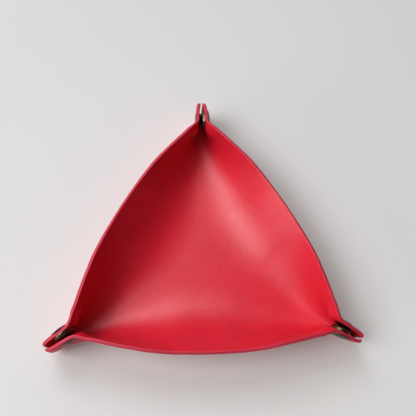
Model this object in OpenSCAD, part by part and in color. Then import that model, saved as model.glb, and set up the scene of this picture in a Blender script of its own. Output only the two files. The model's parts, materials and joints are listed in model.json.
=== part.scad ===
/* [Leather] */
// Thickness of the leather
leather_t = 1.8; // [1.4:0.1:2.2]
// Length of leather from a snap to the cut end of its corner
corner_past = 11.9; // [11:0.1:14]
// Half the width of the blank's cut corner
corner_half = 16.5; // [15.5:0.5:18.5]
// How far the middle of a long side of the flat blank bows out
side_bow = 1.2; // [0.4:0.1:6]
// How far the cut end of a corner is notched at the fold
corner_notch = 0.65; // [0.2:0.05:2]
// Length of the rounding at the painted edge
edge_round = 0.5; // [0.3:0.05:0.8]

/* [Shape of the tray] */
// Distance from the centre to where the floor turns up at mid side
floor_r = 20; // [17:0.5:24]
// Lean of the side walls at mid side, in degrees
wall_lean = 56; // [48:0.5:64]
// Length over which the leather curves from the floor into the wall at mid side
wall_bend = 26; // [22:0.5:34]
// Length over which the leather curves round the fold of a corner
fold_bend = 8.8; // [7.5:0.1:10]
// Length over which the floor rises before the start of a corner's fold
rise_before = 28.14; // [26:0.5:34]
// Length over which the fold reaches its full slope
rise_run = 30; // [24:0.5:30]
// Slope of the fold at the corners, in degrees
rise_slope = 6.5; // [4:0.5:9]
// Distance past a snap at which the two ears stand upright
ears_past = 3.7; // [2:0.1:5]

/* [Snaps] */
// Distance of a snap from the start of its fold
snap_past = 8.66; // [8.2:0.1:10]
// Height of a snap's axis above the fold
snap_up = 15.6; // [15:0.1:16.5]
// Half the distance between the middles of the two ears at the snap
ear_half = 2.65; // [2.6:0.05:2.9]
// Angle by which each ear closes in towards its tip, in degrees
ear_toe = 3; // [0:0.5:4]
// Diameter of the domed cap
cap_d = 12.5; // [12:0.1:12.8]
// Height of the dome over the leather
cap_h = 2.2; // [1.8:0.1:2.6]
// Diameter of the socket
socket_d = 10.8; // [10.2:0.1:11.4]
// Height of the socket over the leather
socket_h = 2.3; // [2.2:0.05:2.4]
// Diameter of the stud's head
stud_d = 4.3; // [4.1:0.05:4.5]
// Diameter of the stud's base
stud_base_d = 9.3; // [8.6:0.1:10]
// Thickness of the stud's base
stud_base_t = 0.8; // [0.6:0.05:0.9]
// Diameter of the post's flange
post_d = 9.5; // [9:0.1:10.5]
// Height of the post's flange over the leather
post_h = 0.8; // [0.6:0.05:1]
// Diameter of the spring wire
wire_d = 0.5; // [0.4:0.05:0.55]
// Thickness of the sheet brass
brass_t = 0.35; // [0.25:0.05:0.4]

/* [Moving corners] */
// Width of the slit between a moving ear and the rest of the leather
slit = 0.3; // [0.2:0.05:0.4]

/* [Hidden] */
// Half the sweep of the floor's edge from mid side to a corner, in degrees
half_sweep = 30;
// Direction of mid side seen from a corner, in degrees
side_dir = 60;
// Directions of the three corners, in degrees
corner_dirs = [90, 210, 330];
// Powers that shape the change from side wall to ear
lean_power = 2;
bend_power = 8;
curve_power = 2;
// Shapes of the bend curve at mid side and at the fold
side_curve = [2, 1.92];
fold_curve = [1, 4];
// Share of the run over which that change comes to rest
rest_share = 0.08;
// Distance past a snap at which the ears start to close, and how much they close
close_past = 6.7;
close_share = 0.45;
// Radius of the flat pressed round a snap, and where the leather is free again
press_share = 1.04;
free_share = 1.84;
press_r = press_share * cap_d / 2;
press_out = free_share * cap_d / 2;
// Depth by which the snap sinks into the leather
seat_depth = 0.1;
// Share of the thickness that is left at a painted edge
edge_share = 0.6;
// Distance from the cap to the slit
cap_clear = 0.4;

// Rows and columns of the leather's surface
sweep_rows = 11;
root_rows = 1;
ear_rows = 9;
wall_cells = 13;
// Rows lie closer near a corner, and columns near a fold
row_power = 1.5;
fold_power = 1.6;
ring_shares = [0, 0.35, 0.62, 0.82, 0.93];
steps = 4;

// Snap details
barrel_r = 2;
barrel_clear = 0.1;
roll_r = 2.9;
roll_t = 0.25;
cap_rim = 0.5;
mouth_clear = 0.25;
grip = 0.3;
wire_clear = 0.03;
wire_depth = 0.02;
stud_wall = 0.2;
stud_tip_share = 0.68;
socket_face_share = 0.8;
dimple_r = 1.5;
dimple_deep = 0.45;
over = 1;

fold_start = floor_r * (1 + sin(side_dir) / (1 - cos(half_sweep))) / 2;
sweep_r = floor_r * sin(side_dir) / (1 - cos(half_sweep));
sweep_len = sweep_r * half_sweep * PI / 180;
rise_start = fold_start - rise_before;
snap_at = fold_start + snap_past;
ears_at = snap_at + ears_past;
close_at = snap_at + close_past;
blank_corner = snap_at + corner_past;
end_at = blank_corner - corner_notch;
cut_at = snap_at - cap_d / 2 - cap_clear;
rest_len = (sweep_len + ears_at - fold_start) / (1 + rest_share);

side_n = [cos(side_dir), sin(side_dir)];
side_t = [sin(side_dir), -cos(side_dir)];
blank_tip = [blank_corner, corner_half];
blank_side = blank_tip * side_n + side_bow;
edge_r = (pow(blank_tip * side_t, 2) + side_bow * side_bow) / (2 * side_bow);
edge_c = (blank_side - edge_r) * side_n;

half_t = leather_t / 2;
seat = half_t - seat_depth;
stud_bore = stud_d / 2 - grip - stud_wall;
fold_f = [cos(rise_slope), 0, sin(rise_slope)];
fold_up = [-sin(rise_slope), 0, cos(rise_slope)];

function mix(a, b, e) = a + (b - a) * e;
function clamp(u) = min(max(u, 0), 1);
function ease(u) = let (v = clamp(u)) v * v * (3 - 2 * v);
function rest(u, k) = u < 1 - k ? u : u > 1 + k ? 1 : u - pow(u - 1 + k, 2) / (4 * k);
function unit(v) = v / norm(v);
function sum(v) = v * [for (i = v) 1];

// Height and slope of the fold at a distance from the centre
function rise_u(x) = (x - rise_start) / rise_run;
function rise_z(x) =
    let (u = rise_u(x), tn = tan(rise_slope))
    u <= 0 ? 0
    : u < 1 ? tn * rise_run * (pow(u, 3) - pow(u, 4) / 2)
    : tn * rise_run / 2 + tn * (x - rise_start - rise_run);
function rise_a(x) = atan(tan(rise_slope) * ease(rise_u(x)));

// A row starts at a point of the floor's edge or of the fold and runs up the wall:
// its start, its direction and the length passed since mid side
function at_sweep(a) =
    let (b = half_sweep - a)
    [fold_start - sweep_r * sin(b), sweep_r * (1 - cos(b)), side_dir + a, sweep_r * a * PI / 180];
function at_fold(x) = [x, 0, 90, sweep_len + x - fold_start];

// Angle of the wall at a length along the row, and the curve that it gives
function lean_at(g, om, lc, ka, kb) = om * (1 - pow(1 - pow(min(g / lc, 1), ka), kb));
function bend(gs, om, lc, ka, kb) =
    let (
        n = len(gs),
        d = [for (j = [0:n - 2])
            let (
                st = (gs[j + 1] - gs[j]) / steps,
                a = [for (m = [1:steps]) lean_at(gs[j] + (m - 1 / 2) * st, om, lc, ka, kb)]
            )
            st * [sum([for (t = a) cos(t)]), sum([for (t = a) sin(t)])]]
    )
    [for (j = 0, p = [0, 0]; j < n; p = j < n - 1 ? p + d[j] : p, j = j + 1) p];

// The leather is pressed flat between the parts of a snap
snap_c = [snap_at, 0, rise_z(snap_at)] + snap_up * fold_up;
function pressed(p) =
    let (
        v = p - snap_c,
        s = v * fold_f,
        w = 1 - ease((norm([s, v * fold_up]) - press_r) / (press_out - press_r))
    )
    [p[0], p[1] + w * (ear_half - s * tan(ear_toe) - p[1]), p[2]];

// Points along the middle of the leather on one row, from a first length to the edge
function row_points(r, first) =
    let (
        x = r[0],
        psi = r[2],
        e = rest(r[3] / rest_len, rest_share),
        a = rise_a(x) * sin(psi),
        pull = corner_notch * pow(max((x - ears_at) / (end_at - ears_at), 0), 2),
        dir = [cos(psi), sin(psi)],
        w = [x + pull, r[1]] - edge_c,
        b = w * dir,
        l = sqrt(b * b - w * w + edge_r * edge_r) - b,
        om = mix(wall_lean, 90, pow(e, lean_power)),
        shut = 1 - close_share * pow(max((x - close_at) / (end_at - close_at), 0), 2),
        lc = mix(wall_bend, fold_bend, pow(e, bend_power)) * shut,
        ec = pow(e, curve_power),
        ka = mix(side_curve[0], fold_curve[0], ec),
        kb = mix(side_curve[1], fold_curve[1], ec),
        g = mix(1, fold_power, ec),
        near = [for (j = [0:wall_cells - 1]) mix(first, l - edge_round, pow(j / (wall_cells - 1), g))],
        gs = concat(first > 0 ? [0] : [], near, [l]),
        hk = bend(gs, om, lc, ka, kb),
        up = [-sin(a) * sin(psi), sin(a) * cos(psi), cos(a)],
        on = [cos(a) * sin(psi), -cos(a) * cos(psi), sin(a)],
        skip = first > 0 ? 1 : 0
    )
    [for (j = [skip:len(gs) - 1])
        pressed([x, r[1], rise_z(x)] + hk[j][0] * [dir[0], dir[1], 0] + hk[j][1] * up
            + pull * gs[j] / l * on)];

// A point mirrored in the plane through mid side
function over_side(p) =
    let (c = cos(2 * side_dir), s = sin(2 * side_dir))
    [p[0] * c + p[1] * s, p[0] * s - p[1] * c, p[2]];

// Vector from the middle of the leather to its inner face, for half a thickness of 1
function face_dir(m, i, j, folds) =
    let (
        t = m[i][min(j + 1, wall_cells)] - m[i][max(j - 1, 0)],
        back = i > 0 ? m[i - 1][j] : folds > 0 ? over_side(m[1][j]) : m[0][j],
        n = unit(cross(m[min(i + 1, len(m) - 1)][j] - back, t)),
        q = unit(cross(fold_f, t))
    )
    i < folds ? n : j == 0 ? fold_up : q / (q * n);
// Leather that is folded on itself stops at its own half
function kept(p, low) = [p[0], max(p[1], low), p[2]];
function half_at(i, j, last) = half_t * (j == wall_cells || i == last ? edge_share : 1);

function turned(p, a) = [p[0] * cos(a) - p[1] * sin(a), p[0] * sin(a) + p[1] * cos(a), p[2] + half_t];

rows = concat(
    [for (i = [0:sweep_rows]) at_sweep(half_sweep * (1 - pow(1 - i / sweep_rows, row_power)))],
    [for (i = [1:root_rows]) at_fold(mix(fold_start, cut_at, i / root_rows))],
    [for (i = [1:ear_rows]) at_fold(mix(cut_at, end_at - edge_round, i / ear_rows))],
    [at_fold(end_at)]
);
cut_row = sweep_rows + root_rows;
last_row = len(rows) - 1;
rings = len(ring_shares);
mid = [for (r = rows) row_points(r, 0)];

// Inner (layer 1) or outer (layer -1) point of half a corner, in the corner's own frame;
// columns below zero lie on the floor
function shell_point(layer, i, j) =
    j <= 0
    ? let (k = j < 0 ? ring_shares[j + rings] : 1, x = rows[i][0] * k, a = rise_a(x))
        [x, rows[i][1] * k, rise_z(x)] + layer * half_at(i, j, last_row) * [-sin(a), 0, cos(a)]
    : mid[i][j] + layer * half_at(i, j, last_row) * face_dir(mid, i, j, sweep_rows + 1);

// Places in the list of points, with each shared point counted once
cols = wall_cells + 1 + rings;
function place(layer, c, s, i, j) =
    j == -rings ? place_of(layer, 0, 1, 0, j)
    : s < 0 && i == 0 ? place_of(layer, (c + 2) % 3, 1, 0, j)
    : s < 0 && j <= 0 && i >= sweep_rows ? place_of(layer, c, 1, i, j)
    : place_of(layer, c, s, i, j);
function place_of(layer, c, s, i, j) =
    ((((layer > 0 ? 0 : 1) * 3 + c) * 2 + (s > 0 ? 0 : 1)) * len(rows) + i) * cols + j + rings;

shell_points = [
    for (layer = [1, -1])
        for (c = [0:2])
            for (s = [1, -1])
                for (i = [0:last_row])
                    for (j = [-rings:wall_cells])
                        let (p = kept(shell_point(layer, i, j), 0))
                        turned([p[0], s * p[1], p[2]], corner_dirs[c])
];

function tri(f) = f[0] == f[1] || f[1] == f[2] || f[0] == f[2] ? [] : [f];
function quad(a, b, c, d) = concat(tri([a, b, c]), tri([a, c, d]));
function cell(c, s, i, j) =
    let (
        u = [for (q = [[0, 0], [0, 1], [1, 1], [1, 0]]) place(1, c, s, i + q[0], j + q[1])],
        v = [for (q = [[0, 0], [1, 0], [1, 1], [0, 1]]) place(-1, c, s, i + q[0], j + q[1])]
    )
    s > 0
    ? concat(quad(u[0], u[1], u[2], u[3]), quad(v[0], v[1], v[2], v[3]))
    : concat(quad(u[3], u[2], u[1], u[0]), quad(v[3], v[2], v[1], v[0]));
function band(c, s, from, to) =
    let (a = s > 0 ? from : to, b = s > 0 ? to : from)
    quad(place(1, c, s, b[0], b[1]), place(1, c, s, a[0], a[1]),
        place(-1, c, s, a[0], a[1]), place(-1, c, s, b[0], b[1]));

shell_faces = [
    for (c = [0:2])
        for (s = [1, -1])
            let (end = s > 0 ? last_row : cut_row)
            each concat(
                [for (i = [0:end - 1]) for (j = [i < sweep_rows ? -rings : 0:wall_cells - 1]) each cell(c, s, i, j)],
                [for (i = [0:end - 1]) each band(c, s, [i, wall_cells], [i + 1, wall_cells])],
                [for (j = [0:wall_cells - 1]) each band(c, s, [end, j + 1], [end, j])],
                s > 0 ? [for (i = [cut_row:end - 1]) each band(c, s, [i + 1, 0], [i, 0])] : []
            )
];

// A moving ear: the same surface, cut free along the fold and across it
ear_stations = concat(
    [for (i = [0:ear_rows]) at_fold(mix(cut_at + slit, end_at - edge_round, i / ear_rows))],
    [at_fold(end_at)]
);
ear_mid = [for (r = ear_stations) row_points(r, slit)];
ear_last = len(ear_stations) - 1;
function ear_place(layer, i, j) = ((layer > 0 ? 0 : 1) * (ear_last + 1) + i) * (wall_cells + 1) + j;
ear_points = [
    for (layer = [1, -1])
        for (i = [0:ear_last])
            for (j = [0:wall_cells])
                let (p = kept(ear_mid[i][j] + layer * half_at(i, j, ear_last) * face_dir(ear_mid, i, j, 0), slit))
                [p[0], -p[1], p[2] + half_t]
];
function ear_band(a, b) =
    quad(ear_place(1, b[0], b[1]), ear_place(1, a[0], a[1]), ear_place(-1, a[0], a[1]), ear_place(-1, b[0], b[1]));
ear_faces = [
    for (i = [0:ear_last - 1])
        for (j = [0:wall_cells - 1])
            each concat(
                quad(ear_place(1, i + 1, j), ear_place(1, i + 1, j + 1), ear_place(1, i, j + 1), ear_place(1, i, j)),
                quad(ear_place(-1, i, j + 1), ear_place(-1, i + 1, j + 1), ear_place(-1, i + 1, j), ear_place(-1, i, j))
            ),
    for (i = [0:ear_last - 1]) each ear_band([i + 1, wall_cells], [i, wall_cells]),
    for (i = [0:ear_last - 1]) each ear_band([i, 0], [i + 1, 0]),
    for (j = [0:wall_cells - 1]) each ear_band([ear_last, j], [ear_last, j + 1]),
    for (j = [0:wall_cells - 1]) each ear_band([0, j + 1], [0, j])
];

// Places what follows at the snap of a corner: +z points out of the ear, +x to the tip
module at_snap(c, s) {
    rotate([0, 0, corner_dirs[c]])
    translate([snap_at, 0, rise_z(snap_at) + half_t])
    rotate([0, -rise_slope, 0])
    translate([0, s * ear_half, snap_up])
    rotate([0, 0, -s * ear_toe])
    rotate([-90 * s, 0, 0])
    children();
}

// What a snap takes out of the leather: its hole and its two pressed seats
module snap_seats(inner_d, outer_d) {
    translate([0, 0, -leather_t - over])
    cylinder(h = 2 * leather_t + 2 * over, r = barrel_r + barrel_clear, $fn = 48);
    translate([0, 0, seat])
    cylinder(h = leather_t + over, d = outer_d + 2 * barrel_clear, $fn = 64);
    translate([0, 0, -seat - leather_t - over])
    cylinder(h = leather_t + over, d = inner_d + 2 * barrel_clear, $fn = 64);
}

module tray_leather() {
    color("crimson")
    difference() {
        polyhedron(shell_points, shell_faces, convexity = 10);
        for (c = [0:2])
            at_snap(c, 1)
            snap_seats(stud_base_d, post_d);
    }
}

module corner_ear(c) {
    color("crimson")
    difference() {
        rotate([0, 0, corner_dirs[c]])
        polyhedron(ear_points, ear_faces, convexity = 10);
        at_snap(c, -1)
        snap_seats(socket_d, cap_d);
    }
}

// Domed cap with its hollow barrel, which is rolled open inside the socket
module snap_cap(c) {
    r = cap_d / 2;
    rise = cap_h - cap_rim;
    ball = (r * r + rise * rise) / (2 * rise);
    sweep = asin(r / ball);
    deep = seat + brass_t + roll_t;
    color("darkgoldenrod")
    at_snap(c, -1)
    rotate_extrude($fn = 72)
    polygon(concat(
        [[barrel_r - brass_t, seat + brass_t], [barrel_r - brass_t, -deep], [roll_r, -deep]],
        [[roll_r, -deep + roll_t], [barrel_r, -deep + roll_t], [barrel_r, seat]],
        [[r - cap_rim / 2, seat], [r, seat + cap_rim / 2]],
        [for (i = [0:10]) let (a = sweep * (1 - i / 10))
            [ball * sin(a), seat + cap_rim + ball * (cos(a) - cos(sweep))]],
        [[0, seat + brass_t]]
    ));
}

// Socket: a sheet ring with a base on the leather and a mouth for the stud
module snap_socket(c) {
    r = socket_d / 2;
    face = r * socket_face_share;
    mouth = stud_d / 2 + mouth_clear;
    hole = barrel_r + barrel_clear / 2;
    color("goldenrod")
    at_snap(c, -1)
    translate([0, 0, -seat])
    rotate_extrude($fn = 72)
    polygon([
        [hole, 0], [r, 0], [r, -socket_h / 2], [face, -socket_h], [mouth, -socket_h],
        [mouth, -socket_h + brass_t], [face - brass_t / 2, -socket_h + brass_t],
        [r - brass_t, -socket_h / 2], [r - brass_t, -brass_t], [hole, -brass_t]
    ]);
}

// The two wires that grip the stud's neck inside the socket
module snap_spring(c) {
    neck = stud_d / 2 - grip;
    off = neck + wire_clear + wire_d / 2;
    room = socket_d / 2 * socket_face_share - brass_t - wire_clear;
    reach = sqrt(pow(room, 2) - pow(off + wire_d / 2, 2));
    color("silver")
    at_snap(c, -1)
    for (s = [1, -1])
        translate([-reach, s * off, -seat - socket_h + brass_t + wire_depth + wire_d / 2])
        rotate([0, 90, 0])
        cylinder(h = 2 * reach, d = wire_d, $fn = 24);
}

// Stud: a base on the leather and a waisted head that enters the socket
module snap_stud(c) {
    r = stud_d / 2;
    neck = r - grip;
    gap = 2 * (ear_half - seat) - socket_h - stud_base_t;
    waist = stud_base_t + gap + brass_t + wire_depth + wire_d;
    bulge = waist + grip;
    tip = bulge + grip * 2 / 3;
    color("darkgoldenrod")
    at_snap(c, 1)
    translate([0, 0, -seat])
    rotate_extrude($fn = 72)
    polygon([
        [stud_bore, 0], [stud_base_d / 2 - stud_base_t / 2, 0], [stud_base_d / 2, -stud_base_t / 2],
        [stud_base_d / 2 - stud_base_t / 2, -stud_base_t], [neck + grip, -stud_base_t],
        [neck, -stud_base_t - grip], [neck, -waist], [r, -bulge], [r * stud_tip_share, -tip], [0, -tip],
        [0, -tip + brass_t], [stud_bore, -tip + brass_t]
    ]);
}

// Post: a dimpled flange on the outside and a tube through the leather into the stud
module snap_post(c) {
    r = post_d / 2;
    tube = stud_bore - wire_clear;
    deep = seat + stud_base_t;
    color("darkgoldenrod")
    at_snap(c, 1)
    rotate_extrude($fn = 72)
    polygon([
        [0, seat - dimple_deep], [0, -deep], [tube, -deep], [tube, seat],
        [r - post_h / 4, seat], [r, seat + post_h / 2], [r - post_h / 2, seat + post_h],
        [dimple_r + post_h / 2, seat + post_h], [dimple_r, seat + post_h / 2], [dimple_r - post_h / 4, seat - dimple_deep]
    ]);
}

module corner_ear_1() { corner_ear(0); }
module corner_ear_2() { corner_ear(1); }
module corner_ear_3() { corner_ear(2); }
module snap_cap_1() { snap_cap(0); }
module snap_cap_2() { snap_cap(1); }
module snap_cap_3() { snap_cap(2); }
module snap_socket_1() { snap_socket(0); }
module snap_socket_2() { snap_socket(1); }
module snap_socket_3() { snap_socket(2); }
module snap_spring_1() { snap_spring(0); }
module snap_spring_2() { snap_spring(1); }
module snap_spring_3() { snap_spring(2); }
module snap_stud_1() { snap_stud(0); }
module snap_stud_2() { snap_stud(1); }
module snap_stud_3() { snap_stud(2); }
module snap_post_1() { snap_post(0); }
module snap_post_2() { snap_post(1); }
module snap_post_3() { snap_post(2); }

tray_leather();
corner_ear_1();
corner_ear_2();
corner_ear_3();
snap_cap_1();
snap_cap_2();
snap_cap_3();
snap_socket_1();
snap_socket_2();
snap_socket_3();
snap_spring_1();
snap_spring_2();
snap_spring_3();
snap_stud_1();
snap_stud_2();
snap_stud_3();
snap_post_1();
snap_post_2();
snap_post_3();
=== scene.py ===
import json
import math

import bmesh
import bpy
import numpy as np
from mathutils import Matrix, Vector

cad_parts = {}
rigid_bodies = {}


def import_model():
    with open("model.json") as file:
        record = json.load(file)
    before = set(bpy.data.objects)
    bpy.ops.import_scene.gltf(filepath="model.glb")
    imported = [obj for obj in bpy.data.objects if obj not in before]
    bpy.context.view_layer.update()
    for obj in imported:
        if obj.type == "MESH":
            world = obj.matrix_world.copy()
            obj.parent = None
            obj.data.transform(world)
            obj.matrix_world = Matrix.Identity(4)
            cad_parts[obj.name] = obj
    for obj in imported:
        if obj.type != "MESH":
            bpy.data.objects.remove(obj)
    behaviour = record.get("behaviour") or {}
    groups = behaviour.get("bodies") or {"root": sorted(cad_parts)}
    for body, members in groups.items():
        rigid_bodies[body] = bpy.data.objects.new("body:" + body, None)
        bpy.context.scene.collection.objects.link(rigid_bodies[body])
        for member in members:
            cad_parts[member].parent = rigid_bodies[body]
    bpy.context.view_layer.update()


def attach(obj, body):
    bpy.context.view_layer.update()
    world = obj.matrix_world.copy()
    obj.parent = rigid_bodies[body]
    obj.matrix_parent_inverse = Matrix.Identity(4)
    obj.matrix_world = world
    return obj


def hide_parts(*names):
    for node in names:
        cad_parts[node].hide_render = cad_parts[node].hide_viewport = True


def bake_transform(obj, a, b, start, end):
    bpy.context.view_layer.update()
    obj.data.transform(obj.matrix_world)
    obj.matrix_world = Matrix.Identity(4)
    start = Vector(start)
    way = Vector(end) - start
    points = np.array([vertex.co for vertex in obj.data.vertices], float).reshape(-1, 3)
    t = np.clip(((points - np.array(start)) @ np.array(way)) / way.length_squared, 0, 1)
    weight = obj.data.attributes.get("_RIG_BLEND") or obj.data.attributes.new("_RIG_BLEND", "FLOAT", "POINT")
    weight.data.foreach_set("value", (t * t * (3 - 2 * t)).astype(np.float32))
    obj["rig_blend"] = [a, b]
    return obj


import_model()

# Camera, placed by matching the tray's outline; angles in radians
cameraPlace = {
    "location": (-0.01703, -0.0532, 0.2529),
    "yaw": -0.0732, "pitch": 0.3289, "roll": -0.0267,
    "lens": 38.2, "sensor": 36, "clipStart": 0.01,
}
cameraData = bpy.data.cameras.new("camera")
camera = bpy.data.objects.new("camera", cameraData)
bpy.context.collection.objects.link(camera)
turn = (
    Matrix.Rotation(cameraPlace["roll"], 4, "Z")
    @ Matrix.Rotation(cameraPlace["yaw"], 4, "Y")
    @ Matrix.Rotation(cameraPlace["pitch"], 4, "X")
)
camera.matrix_world = Matrix.Translation(cameraPlace["location"]) @ turn
cameraData.lens = cameraPlace["lens"]
cameraData.sensor_width = cameraPlace["sensor"]
cameraData.clip_start = cameraPlace["clipStart"]
scene = bpy.context.scene
scene.camera = camera
scene.view_settings.view_transform = "Standard"
print("camera placed")

# The leather in millimetres and degrees: the flat blank, and the form it is folded to
blank = {
    "corner": 94.8, "cornerHalf": 16.2, "bow": 0.29, "notch": 0.65,
    "thickness": 1.8, "edgeRound": 0.42,
}
form = {
    "floor": 7.1,  # flat middle of the floor
    "riseStart": 46.5, "riseRun": 30, "slope": 6.5,  # the folds rise towards the ears
    "fanEnd": 56.4, "fanEase": 0.5,  # from here on the rows stand square to the fold
    "lean": 51.7, "leanPower": 2.05,  # slant of the walls at mid side
    "wallBend": 39.6, "foldBend": 8.8, "bendPower": 7.7,  # bend's length at mid side and in the fold
    "softIn": -9, "softOut": 83, "middleRound": 8,  # where a bend that starts softly turns brisk
    "softPower": 2, "briskPower": 1,
    "wallEase": 1.67, "foldEase": 4, "curvePower": 1.54,  # how early a bend is over
    "closedBy": 88.8, "rest": 0.12,  # upright from here on
    "closeAt": 90, "closeShare": 0.45, "earsAt": 87,  # the ears' ends close in and are cut oblique
}
# The stud's place on the fold, the distance of the ears and the round area that the stud presses flat
snap = {
    "at": 83.3, "up": 15.6, "earHalf": 2.65, "toe": 2.4,
    "pressFlat": 5.1, "pressFree": 11.6, "domeShare": 0.66,
}
# Degrees by which each pinched corner leans over, about a line through its ears; the walls take it up
cornerLean = {"turns": (0, -0.5, 7), "from": 60, "to": 80, "up": 19}
cornerDirections = (90, 210, 330)
meshing = {
    "centreRows": 4, "turnRows": 36, "fanRows": 24, "foldRows": 52,
    "floorColumns": 10, "wallColumns": 44, "arcs": 4, "crowding": 1.6, "bendSteps": 700,
    "earsFrom": 52, "mergeWithin": 2e-6, "smoothUnder": 50,
    "snapMergeWithin": 1e-6, "snapSmoothUnder": 35,
}

half = blank["thickness"] / 2
floorStart = form["floor"] / 2
turnRadius = form["floor"] * math.sin(math.radians(60)) / (1 - math.cos(math.radians(30)))
foldStart = floorStart + turnRadius / 2
turnLength = turnRadius * math.radians(30)
fanLength = turnLength + form["fanEnd"] - foldStart
endAt = blank["corner"] - blank["notch"]
restLength = (turnLength + form["closedBy"] - foldStart) / (1 + form["rest"])
farAway = 1e3  # for rows that don't end near the tip of an ear
middleOfFloor = 50.0  # distance from the rim that the floor's points are given

# The side of the blank is an arc through its tips
sideNormal = np.array([0.5, math.sin(math.radians(60))])
sideAlong = np.array([math.sin(math.radians(60)), -0.5])
blankTip = np.array([blank["corner"], blank["cornerHalf"]])
blankSide = blankTip @ sideNormal + blank["bow"]
edgeRadius = ((blankTip @ sideAlong) ** 2 + blank["bow"] ** 2) / (2 * blank["bow"])
edgeCentre = (blankSide - edgeRadius) * sideNormal
slopeTan = math.tan(math.radians(form["slope"]))


def ease(u):
    u = np.clip(u, 0, 1)
    return u * u * (3 - 2 * u)


def mix(a, b, share):
    return a + (b - a) * share


# Height and slant of the fold, which rises from the floor towards the ears
def riseHeight(x):
    u = np.clip((x - form["riseStart"]) / form["riseRun"], 0, 1)
    past = np.maximum(x - form["riseStart"] - form["riseRun"], 0)
    return slopeTan * (form["riseRun"] * (u**3 - u**4 / 2) + past)


def riseAngle(x):
    return np.arctan(slopeTan * ease((x - form["riseStart"]) / form["riseRun"]))


# Grows with u up to 1, with a rounded step into the level part
def restShare(u, k):
    return u if u < 1 - k else 1 if u > 1 + k else u - (u - 1 + k) ** 2 / (4 * k)


snapSlope = math.radians(form["slope"])
snapFold = np.array([snap["at"], 0, riseHeight(snap["at"])])
foldForward = np.array([math.cos(snapSlope), 0, math.sin(snapSlope)])
foldUp = np.array([-math.sin(snapSlope), 0, math.cos(snapSlope)])
snapCentre = snapFold + snap["up"] * foldUp
leanCentre = np.array([snap["at"], 0, riseHeight(snap["at"]) + half]) + cornerLean["up"] * foldUp
toeTan = math.tan(math.radians(snap["toe"]))


def leaned(point, corner):
    reach = cornerLean["to"] - cornerLean["from"]
    share = float(ease((point[0] - cornerLean["from"]) / reach))
    angle = math.radians(cornerLean["turns"][corner]) * share
    c, s = math.cos(angle), math.sin(angle)
    offset = point - leanCentre
    along, side, up = offset @ foldForward, offset[1], offset @ foldUp
    side, up = side * c - up * s, side * s + up * c
    return leanCentre + along * foldForward + np.array([0, side, 0]) + up * foldUp


def pressedFlat(points):
    offset = points - snapCentre
    along = offset @ foldForward
    away = np.hypot(along, offset @ foldUp)
    pressed = 1 - ease((away - snap["pressFlat"]) / (snap["pressFree"] - snap["pressFlat"]))
    flat = snap["earHalf"] - along * toeTan
    points[:, 1] += pressed * (flat - points[:, 1])
    return points


# One row of the middle surface, from the floor or the fold to the rim
def leatherRow(x, y, facing, passed):
    share = restShare(passed / restLength, form["rest"])
    direction = np.array([math.cos(facing), math.sin(facing)])
    pull = blank["notch"] * max((x - form["earsAt"]) / (endAt - form["earsAt"]), 0) ** 2
    w = np.array([x + pull, y]) - edgeCentre
    b = w @ direction
    length = math.sqrt(b * b - w @ w + edgeRadius**2) - b

    # How far the row leans in the end, and how its bend is spread over its length
    lean = math.radians(mix(form["lean"], 90, share ** form["leanPower"]))
    past = max((x - form["closeAt"]) / (endAt - form["closeAt"]), 0)
    shut = 1 - form["closeShare"] * past**2
    bendLength = mix(form["wallBend"], form["foldBend"], share ** form["bendPower"]) * shut
    curved = share ** form["curvePower"]
    middle = form["middleRound"]
    rounded = passed if passed > middle else passed**2 / (2 * middle) + middle / 2
    softened = ease((rounded - form["softIn"]) / (form["softOut"] - form["softIn"]))
    powerIn = mix(form["softPower"], form["briskPower"], softened)
    powerOut = mix(form["wallEase"], form["foldEase"], curved)
    fine = np.linspace(0, length, meshing["bendSteps"])
    angle = lean * (1 - (1 - np.minimum(fine / bendLength, 1) ** powerIn) ** powerOut)
    step = fine[1] / 2
    across = np.concatenate([[0], np.cumsum(np.cos(angle[1:]) + np.cos(angle[:-1])) * step])
    upward = np.concatenate([[0], np.cumsum(np.sin(angle[1:]) + np.sin(angle[:-1])) * step])

    # Columns are closer together in the fold's bend and round the painted edge
    n, arcs, r = meshing["wallColumns"], meshing["arcs"], blank["edgeRound"]
    columns = np.concatenate([
        (length - r) * (np.arange(n + 1) / n) ** mix(1, meshing["crowding"], curved),
        length - r + r * np.sin(np.radians(90) * np.arange(1, arcs + 1) / arcs),
    ])
    a = float(riseAngle(x)) * math.sin(facing)
    up = np.array([-math.sin(a) * math.sin(facing), math.sin(a) * math.cos(facing), math.cos(a)])
    on = np.array([math.cos(a) * math.sin(facing), -math.cos(a) * math.cos(facing), math.sin(a)])
    pulled = pull * columns / length
    points = (
        np.array([x, y, float(riseHeight(x))])
        + np.interp(columns, fine, across)[:, None] * np.array([*direction, 0])
        + np.interp(columns, fine, upward)[:, None] * up
        + pulled[:, None] * on
    )
    flat = np.array([x, y]) + columns[:, None] * direction + pulled[:, None] * np.array([1, 0])
    return {"points": pressedFlat(points), "flat": flat, "fromEdge": length - columns}


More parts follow.
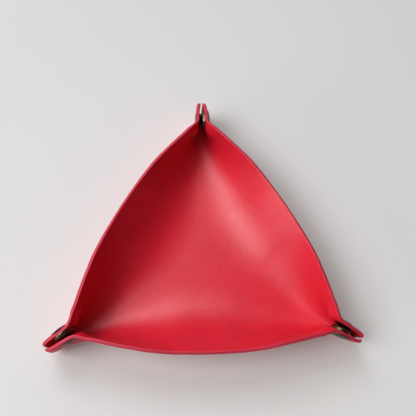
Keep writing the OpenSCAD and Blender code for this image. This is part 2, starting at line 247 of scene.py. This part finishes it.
# Where the rows of half a corner start: round the floor, then along the fold to the tip
def cornerRows():
    def facing(passed):
        share = passed / fanLength
        return math.radians(60 + 30 * mix(share, float(ease(share)), form["fanEase"]))

    rows = []
    for i in range(meshing["turnRows"] + 1):
        left = math.radians(30) * (1 - i / meshing["turnRows"])
        passed = turnRadius * (math.radians(30) - left)
        x = foldStart - turnRadius * math.sin(left)
        y = turnRadius * (1 - math.cos(left))
        rows.append((x, y, facing(passed), passed, farAway))
    for x in np.linspace(foldStart, form["fanEnd"], meshing["fanRows"] + 1)[1:]:
        passed = turnLength + x - foldStart
        rows.append((x, 0.0, facing(passed), passed, farAway))
    r, arcs = blank["edgeRound"], meshing["arcs"]
    stations = list(np.linspace(form["fanEnd"], endAt - r, meshing["foldRows"] + 1)[1:])
    stations += [endAt - r + r * math.sin(math.radians(90) * k / arcs) for k in range(1, arcs + 1)]
    for x in stations:
        rows.append((x, 0.0, math.radians(90), turnLength + x - foldStart, endAt - x))
    return rows


# Half the leather's thickness, which rounds off towards an edge
def halfAt(fromEdge):
    r = blank["edgeRound"]
    q = np.clip(fromEdge / r, 0, 1)
    return half - r + r * np.sqrt(1 - (1 - q) ** 2)


# Half a corner: for each row its inner and outer points from the corner's middle line to the rim
def halfCorner():
    starts = cornerRows()
    made = [leatherRow(*start[:4]) for start in starts]
    middle = np.array([row["points"] for row in made])
    c, s = math.cos(math.radians(120)), math.sin(math.radians(120))
    mirror = np.array([[c, s, 0], [s, -c, 0], [0, 0, 1]])
    before = np.concatenate([[middle[1] @ mirror.T], middle[:-1]])
    after = np.concatenate([middle[1:], [2 * middle[-1] - middle[-2]]])
    alongRow = np.gradient(middle, axis=1)
    normal = np.cross(after - before, alongRow)
    normal /= np.linalg.norm(normal, axis=2, keepdims=True)

    # Along the fold the thickness is measured within the row, so that both sides meet in the middle
    inSection = np.cross(foldForward, alongRow)
    inSection /= np.linalg.norm(inSection, axis=2, keepdims=True)
    inSection /= (inSection * normal).sum(axis=2, keepdims=True)
    firstFold = meshing["turnRows"] + meshing["fanRows"] + 1
    normal[firstFold:] = inSection[firstFold:]

    rows = []
    for i, (x, y, _, _, fromEnd) in enumerate(starts):
        a = float(riseAngle(x))
        normal[i, 0] = (-math.sin(a), 0, math.cos(a))
        fromEdge = np.minimum(made[i]["fromEdge"], fromEnd)
        thick = halfAt(fromEdge)[:, None]
        share = np.arange(meshing["floorColumns"])[:, None] / meshing["floorColumns"]
        floor = np.array([x, 0, float(riseHeight(x))]) + share * np.array([0, y, 0])
        floorHalf = halfAt(np.array([fromEnd]))[0] * normal[i, 0]
        inner = np.concatenate([floor + floorHalf, middle[i] + thick * normal[i]])
        outer = np.concatenate([floor - floorHalf, middle[i] - thick * normal[i]])
        for layer in (inner, outer):
            layer[:, 1] = np.maximum(layer[:, 1], 0)
            layer[:, 2] += half
        flat = np.concatenate([floor[:, :2], made[i]["flat"]])
        edge = np.concatenate([np.full(len(floor), min(fromEnd, middleOfFloor)), fromEdge])
        rows.append({"inner": inner, "outer": outer, "flat": flat, "edge": edge})
    return rows


# The flat middle of the floor
def centreRows():
    rows = []
    for k in range(meshing["centreRows"]):
        x = floorStart * k / meshing["centreRows"]
        y = x * math.tan(math.radians(60))
        share = np.linspace(0, 1, meshing["floorColumns"] + 1)[:, None]
        floor = np.array([x, 0, 0]) + share * np.array([0, y, 0])
        rows.append({
            "inner": floor + np.array([0, 0, 2 * half]), "outer": floor,
            "flat": floor[:, :2], "edge": np.full(len(floor), middleOfFloor),
        })
    return rows


leatherRows = halfCorner()
floorRows = centreRows()
floorRows.append({key: row[: meshing["floorColumns"] + 1] for key, row in leatherRows[0].items()})
print("leather form worked out:", len(leatherRows), "rows a side")


# Mesh points of one patch, inside and outside, with their place on the flat blank
def patchGrids(mesh, layers, patch):
    angle, side = math.radians(cornerDirections[patch["corner"]]), patch["side"]
    c, s = math.cos(angle), math.sin(angle)
    grids = {}
    for face in ("inner", "outer"):
        grid = []
        for row in patch["rows"]:
            line = []
            for p, f, edge in zip(row[face], row["flat"], row["edge"]):
                px, py, pz = leaned(np.array([p[0], side * p[1], p[2]]), patch["corner"])
                fx, fy = f[0], side * f[1]
                vert = mesh.verts.new(((px * c - py * s) / 1000, (px * s + py * c) / 1000, pz / 1000))
                vert[layers["flatPoint"]] = (fx * c - fy * s, fx * s + fy * c, 0)
                vert[layers["fromEdge"]] = edge
                vert[layers["grainSide"]] = 1.0 if face == "inner" else 0.0
                line.append(vert)
            grid.append(line)
        grids[face] = grid
        for line, following in zip(grid, grid[1:]):
            for j in range(min(len(line), len(following)) - 1):
                mesh.faces.new((line[j], following[j], following[j + 1], line[j + 1]))
    return grids["inner"], grids["outer"]


# The tray's side of each fold reaches into the ear, so that no gap shows when the ear swings out
tongue = {"turns": (0.5, 9, 17, 25), "thickness": 0.97}


def closeFold(mesh, layers, patch, inner, outer):
    angle = math.radians(cornerDirections[patch["corner"]])
    towardsEar = Vector((patch["side"] * math.sin(angle), -patch["side"] * math.cos(angle), 0))
    ends = []
    for i in range(patch["foldFrom"], len(inner)):
        first, last = inner[i][0], outer[i][0]
        thick = first.co - last.co
        aside = towardsEar * thick.length
        end = [first]
        for degrees in patch.get("tongue", ()):
            a = math.radians(degrees)
            turned = thick * math.cos(a) + aside * math.sin(a)
            vert = mesh.verts.new(last.co + tongue["thickness"] * turned)
            for layer in layers.values():
                vert[layer] = first[layer]
            end.append(vert)
        ends.append(end + [last])
    for before, after in zip(ends, ends[1:]):
        for j in range(len(before) - 1):
            mesh.faces.new((before[j], after[j], after[j + 1], before[j + 1]))
    if "tongue" in patch:
        mesh.faces.new(ends[0])
        mesh.faces.new(ends[-1])


# Skins patches of rows into one closed mesh
def leatherMesh(name, patches):
    mesh = bmesh.new()
    layers = {"flatPoint": mesh.verts.layers.float_vector.new("flatPoint")}
    for key in ("fromEdge", "grainSide"):
        mesh.verts.layers.float.new(key)
    for key in ("fromEdge", "grainSide"):
        layers[key] = mesh.verts.layers.float[key]
    for patch in patches:
        inner, outer = patchGrids(mesh, layers, patch)
        if patch.get("rim", True):
            for i in range(len(inner) - 1):
                mesh.faces.new((inner[i][-1], inner[i + 1][-1], outer[i + 1][-1], outer[i][-1]))
        if "foldFrom" in patch:
            closeFold(mesh, layers, patch, inner, outer)
        for i in patch.get("closedRows", ()):
            for j in range(len(inner[i]) - 1):
                mesh.faces.new((inner[i][j], inner[i][j + 1], outer[i][j + 1], outer[i][j]))
    bmesh.ops.remove_doubles(mesh, verts=mesh.verts, dist=meshing["mergeWithin"])
    bmesh.ops.recalc_face_normals(mesh, faces=mesh.faces)
    data = bpy.data.meshes.new(name)
    mesh.to_mesh(data)
    mesh.free()
    piece = bpy.data.objects.new(name, data)
    bpy.context.collection.objects.link(piece)
    smoothed(piece, meshing["smoothUnder"])
    return piece


def smoothed(piece, degrees):
    bpy.ops.object.select_all(action="DESELECT")
    piece.select_set(True)
    bpy.context.view_layer.objects.active = piece
    bpy.ops.object.shade_smooth_by_angle(angle=math.radians(degrees))


border = next(
    i for i, row in enumerate(leatherRows) if row["inner"][:, 0].max() >= meshing["earsFrom"]
)
print("ears begin at row", border, "of", len(leatherRows))
trayPatches = []
for corner in range(3):
    trayPatches += [
        {"rows": floorRows, "corner": corner, "side": 1, "rim": False},
        {"rows": floorRows, "corner": corner, "side": -1, "rim": False},
        {
            "rows": leatherRows, "corner": corner, "side": 1,
            "foldFrom": border, "closedRows": (-1,), "tongue": tongue["turns"],
        },
        {"rows": leatherRows[: border + 1], "corner": corner, "side": -1, "closedRows": (-1,)},
    ]
trayLeather = leatherMesh("trayLeather", trayPatches)
earLeathers = []
for corner in range(3):
    patch = {
        "rows": leatherRows[border:], "corner": corner, "side": -1,
        "foldFrom": 0, "closedRows": (0, -1),
    }
    earLeathers.append(leatherMesh(f"earLeather{corner + 1}", [patch]))
print("leather meshes made:", len(trayLeather.data.polygons), len(earLeathers[0].data.polygons))


def nodeKit(material):
    tree = material.node_tree

    def add(kind, inputs=(), **settings):
        node = tree.nodes.new(kind)
        for key, value in settings.items():
            setattr(node, key, value)
        for key, value in dict(inputs).items():
            if hasattr(value, "links"):
                tree.links.new(value, node.inputs[key])
            else:
                node.inputs[key].default_value = value
        return node

    return add


def freshMaterial(name):
    material = bpy.data.materials.new(name)
    material.use_nodes = True
    material.node_tree.nodes.clear()
    return material, nodeKit(material)


def ramp(add, factor, stops):
    node = add("ShaderNodeValToRGB", {"Fac": factor})
    while len(node.color_ramp.elements) < len(stops):
        node.color_ramp.elements.new(0.5)
    for element, (place, colour) in zip(node.color_ramp.elements, stops):
        element.position = place
        element.color = (*colour, 1) if hasattr(colour, "__len__") else (colour, colour, colour, 1)
    return node.outputs["Color"]


def span(add, value, first, last, low, high):
    inputs = {"Value": value, "From Min": first, "From Max": last, "To Min": low, "To Max": high}
    return add("ShaderNodeMapRange", inputs).outputs["Result"]


# Patterns lie on the flat blank, in millimetres; heights of the bumps in metres
leatherLook = {
    "colour": (0.68, 0.007, 0.028), "deep": (0.62, 0.005, 0.023), "paint": (0.50, 0.004, 0.035),
    "grainScale": 0.8, "grainBend": 0.35, "bendScale": 0.9, "poreScale": 1.3, "patchScale": 0.045,
    "gloss": (0.38, 0.47), "paintDull": 0.2, "suedeDull": 0.25, "shine": 0.8,
    "poreHeight": 0.00016, "poreStrength": 0.6, "grainHeight": 0.00009, "grainStrength": 0.5,
    "paintEnd": (0.62, 0.86),
}


def redLeather(name):
    look = leatherLook
    material, add = freshMaterial(name)
    flat = add("ShaderNodeAttribute", attribute_name="flatPoint").outputs["Vector"]
    fromEdge = add("ShaderNodeAttribute", attribute_name="fromEdge").outputs["Fac"]
    grainSide = add("ShaderNodeAttribute", attribute_name="grainSide").outputs["Fac"]

    def noise(scale, **more):
        inputs = {"Vector": flat, "Scale": scale, **{k.capitalize(): v for k, v in more.items()}}
        return add("ShaderNodeTexNoise", inputs).outputs

    # Grain cells with bent borders, and pores between them
    warp = noise(look["bendScale"], detail=3.0)["Color"]
    bent = {"Fac": look["grainBend"], "Color1": flat, "Color2": warp}
    bent = add("ShaderNodeMixRGB", bent, blend_type="ADD").outputs["Color"]
    cells = {"Vector": bent, "Scale": look["grainScale"]}
    cells = add("ShaderNodeTexVoronoi", cells, feature="DISTANCE_TO_EDGE").outputs["Distance"]
    grain = ramp(add, cells, [(0, 0.0), (0.22, 0.8), (1, 1.0)])
    pores = noise(look["poreScale"], detail=4.0, roughness=0.6)["Fac"]
    patches = noise(look["patchScale"], detail=4.0, roughness=0.55)["Fac"]
    tone = ramp(add, patches, [(0.3, look["deep"]), (0.7, look["colour"])])

    # Edge paint runs round the rim and ends unevenly
    worn = add("ShaderNodeMath", {0: fromEdge, 1: pores}, operation="ADD").outputs[0]
    paint = span(add, worn, *look["paintEnd"], 1.0, 0.0)
    colour = {"Fac": paint, "Color1": tone, "Color2": (*look["paint"], 1)}
    colour = add("ShaderNodeMixRGB", colour).outputs["Color"]

    # Duller on the paint and on the suede outside
    roughness = span(add, pores, 0.3, 0.7, *look["gloss"])
    suede = span(add, grainSide, 0.0, 1.0, look["suedeDull"], 0.0)
    dull = {0: paint, 1: look["paintDull"], 2: suede}
    dull = add("ShaderNodeMath", dull, operation="MULTIPLY_ADD").outputs[0]
    roughness = add("ShaderNodeMath", {0: roughness, 1: dull}, operation="ADD").outputs[0]

    fine = add("ShaderNodeBump", {
        "Strength": look["poreStrength"], "Distance": look["poreHeight"], "Height": pores,
    }).outputs["Normal"]
    bump = add("ShaderNodeBump", {
        "Strength": look["grainStrength"], "Distance": look["grainHeight"], "Height": grain,
        "Normal": fine,
    }).outputs["Normal"]
    shader = add("ShaderNodeBsdfPrincipled", {
        "Base Color": colour, "Roughness": roughness, "Normal": bump,
        "Specular IOR Level": look["shine"],
    })
    add("ShaderNodeOutputMaterial", {"Surface": shader.outputs["BSDF"]})
    return material


leatherMaterial = redLeather("redLeather")
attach(trayLeather, "tray")
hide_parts("tray_leather")
trayLeather.data.materials.append(leatherMaterial)


# A place on a corner's middle line, in metres
def alongCorner(reach, corner):
    angle = math.radians(cornerDirections[corner])
    return (reach * math.cos(angle) / 1000, reach * math.sin(angle) / 1000, 0.0)


# Between these places an ear's leather goes over from the tray's place to the swung ear's
firstRow = leatherRows[border]
bendFrom = float(max(firstRow["inner"][:, 0].max(), firstRow["outer"][:, 0].max()))
bendTo = 76.6
for k, ear in enumerate(earLeathers):
    ear.data.materials.append(leatherMaterial)
    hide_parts(f"corner_ear_{k + 1}")
    start, end = alongCorner(bendFrom, k), alongCorner(bendTo, k)
    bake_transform(ear, "tray", f"ear_{k + 1}", start=start, end=end)
print("leather placed")

# Antique brass: the caps and posts are dull; the sockets are lighter all over, a painted highlight where
# they face the light, and the studs nearly black, painted shade in the gap between the ears
brassLooks = {
    "cap": {
        "dark": (0.022, 0.017, 0.012), "middle": (0.12, 0.09, 0.055),
        "rubbed": (0.36, 0.28, 0.17), "gloss": (0.5, 0.27),
    },
    # The socket's colours are lifted as a painted highlight
    "socket": {
        "dark": (0.03, 0.022, 0.014), "middle": (0.22, 0.165, 0.10),
        "rubbed": (0.62, 0.51, 0.36), "gloss": (0.42, 0.24),
    },
    # The stud's colours are lowered to nearly black as painted shade
    "stud": {
        "dark": (0.012, 0.009, 0.007), "middle": (0.035, 0.026, 0.018),
        "rubbed": (0.16, 0.12, 0.075), "gloss": (0.5, 0.32),
    },
}
brassWear = {"patinaScale": 900.0, "scratchScale": 4000.0, "scratchDepth": 0.00003, "scratching": 0.15}


def snapBrass(part):
    look = brassLooks[part]
    material, add = freshMaterial(f"{part}Brass")
    place = add("ShaderNodeTexCoord").outputs["Object"]
    patina = {"Vector": place, "Scale": brassWear["patinaScale"], "Detail": 5.0, "Roughness": 0.65}
    patina = add("ShaderNodeTexNoise", patina).outputs["Fac"]
    colour = ramp(add, patina, [(0.35, look["dark"]), (0.6, look["middle"]), (0.8, look["rubbed"])])
    rough = ramp(add, patina, [(0.3, look["gloss"][0]), (0.7, look["gloss"][1])])
    scratches = {"Vector": place, "Scale": brassWear["scratchScale"], "Detail": 3.0}
    scratches = add("ShaderNodeTexNoise", scratches).outputs["Fac"]
    bump = add("ShaderNodeBump", {
        "Strength": brassWear["scratching"], "Distance": brassWear["scratchDepth"],
        "Height": scratches,
    }).outputs["Normal"]
    shader = add("ShaderNodeBsdfPrincipled", {
        "Base Color": colour, "Roughness": rough, "Metallic": 1.0, "Normal": bump,
    })
    add("ShaderNodeOutputMaterial", {"Surface": shader.outputs["BSDF"]})
    return material


wireLook = {
    "dark": (0.42, 0.40, 0.37), "bright": (0.62, 0.60, 0.56), "roughness": 0.24, "scale": 2500.0,
}


def springWire():
    material, add = freshMaterial("springWire")
    place = add("ShaderNodeTexCoord").outputs["Object"]
    drawn = {"Vector": place, "Scale": wireLook["scale"], "Detail": 2.0}
    drawn = add("ShaderNodeTexNoise", drawn).outputs["Fac"]
    colour = ramp(add, drawn, [(0.3, wireLook["dark"]), (0.7, wireLook["bright"])])
    shader = add("ShaderNodeBsdfPrincipled", {
        "Base Color": colour, "Roughness": wireLook["roughness"], "Metallic": 1.0,
    })
    add("ShaderNodeOutputMaterial", {"Surface": shader.outputs["BSDF"]})
    return material


capBrass = snapBrass("cap")
snapMaterials = {
    "cap": capBrass, "post": capBrass,
    "socket": snapBrass("socket"), "stud": snapBrass("stud"), "spring": springWire(),
}


# Heads outside the ears are shallower than the standard ones
def shallow(point):
    surface = snap["earHalf"] + half - (point - snapCentre) @ foldForward * toeTan
    past = max(abs(point[1]) - surface, 0)
    side = min(abs(point[1]), surface) + snap["domeShare"] * past
    return np.array([point[0], math.copysign(side, point[1]), point[2]])


# A snap part is the CAD part, merged, leaning with its corner
def snapPiece(part, corner):
    node = bpy.data.objects[f"snap_{part}_{corner + 1}"]
    piece = bpy.data.objects.new(f"{part}{corner + 1}", node.data.copy())
    bpy.context.collection.objects.link(piece)
    mesh = bmesh.new()
    mesh.from_mesh(piece.data)
    bmesh.ops.remove_doubles(mesh, verts=mesh.verts, dist=meshing["snapMergeWithin"])
    angle = math.radians(cornerDirections[corner])
    c, s = math.cos(angle), math.sin(angle)
    for vert in mesh.verts:
        x, y, z = (1000 * v for v in vert.co)
        point = shallow(np.array([x * c + y * s, y * c - x * s, z]))
        # All of a part leans fully, also where it reaches into the wall's softer lean
        before = np.array([min(point[0] - cornerLean["to"], 0), 0, 0])
        px, py, pz = leaned(point - before, corner) + before
        vert.co = ((px * c - py * s) / 1000, (px * s + py * c) / 1000, pz / 1000)
    mesh.to_mesh(piece.data)
    mesh.free()
    smoothed(piece, meshing["snapSmoothUnder"])
    piece.data.materials.clear()
    piece.data.materials.append(snapMaterials[part])
    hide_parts(node.name)
    return piece


for corner in range(3):
    for part in ("cap", "socket", "spring"):
        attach(snapPiece(part, corner), f"ear_{corner + 1}")
    for part in ("stud", "post"):
        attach(snapPiece(part, corner), "tray")
print("snaps finished")

# Pale table with a painted shade gradient: a little darker towards the far left than towards the near right,
# as the light falls off
tableLook = {
    "size": 3, "across": (0.48, -0.6, 0), "reach": 0.16,
    "far": (0.61, 0.605, 0.61), "near": (0.79, 0.785, 0.765), "roughness": 0.7, "shine": 0.2,
}
bpy.ops.mesh.primitive_plane_add(size=tableLook["size"], location=(0, 0, 0))
table = bpy.context.object
table.name = "table"
tableMaterial, add = freshMaterial("paleTable")
place = add("ShaderNodeTexCoord").outputs["Object"]
along = {0: place, 1: tableLook["across"]}
along = add("ShaderNodeVectorMath", along, operation="DOT_PRODUCT").outputs["Value"]
# The gradient paints the light's fall-off across the table
tone = span(add, along, -tableLook["reach"], tableLook["reach"], 0.0, 1.0)
tone = ramp(add, tone, [(0, tableLook["far"]), (1, tableLook["near"])])
shader = add("ShaderNodeBsdfPrincipled", {
    "Base Color": tone, "Roughness": tableLook["roughness"], "Specular IOR Level": tableLook["shine"],
})
add("ShaderNodeOutputMaterial", {"Surface": shader.outputs["BSDF"]})
table.data.materials.append(tableMaterial)

roomLook = {"colour": (1, 0.93, 0.82, 1), "strength": 0.04}
world = bpy.data.worlds.new("room")
scene.world = world
world.use_nodes = True
background = world.node_tree.nodes["Background"]
background.inputs["Color"].default_value = roomLook["colour"]
background.inputs["Strength"].default_value = roomLook["strength"]

# Soft panels of a bright wall to the left: height and side in degrees, power in watts
panels = {
    "distance": 1.5, "size": 0.75, "colour": (0.99, 0.99, 1.0),
    "powers": {
        (46, 180): 11.5, (46, 120): 8.5, (10, 210): 7.0, (64, 180): 3.4, (46, 210): 2.9,
        (46, 90): 2.6, (10, 120): 1.8, (20, 60): 1.4, (20, 300): 0.4,
    },
}
for (height, side), power in panels["powers"].items():
    data = bpy.data.lights.new(f"panel_{height}_{side}", "AREA")
    data.shape = "SQUARE"
    data.size = panels["size"]
    data.energy = power
    data.color = panels["colour"]
    light = bpy.data.objects.new(data.name, data)
    bpy.context.collection.objects.link(light)
    rise, around = math.radians(height), math.radians(side)
    level = math.cos(rise)
    towards = Vector((level * math.cos(around), level * math.sin(around), math.sin(rise)))
    light.location = panels["distance"] * towards
    light.rotation_euler = (-light.location).to_track_quat("-Z", "Y").to_euler()
print("stage and lights placed")
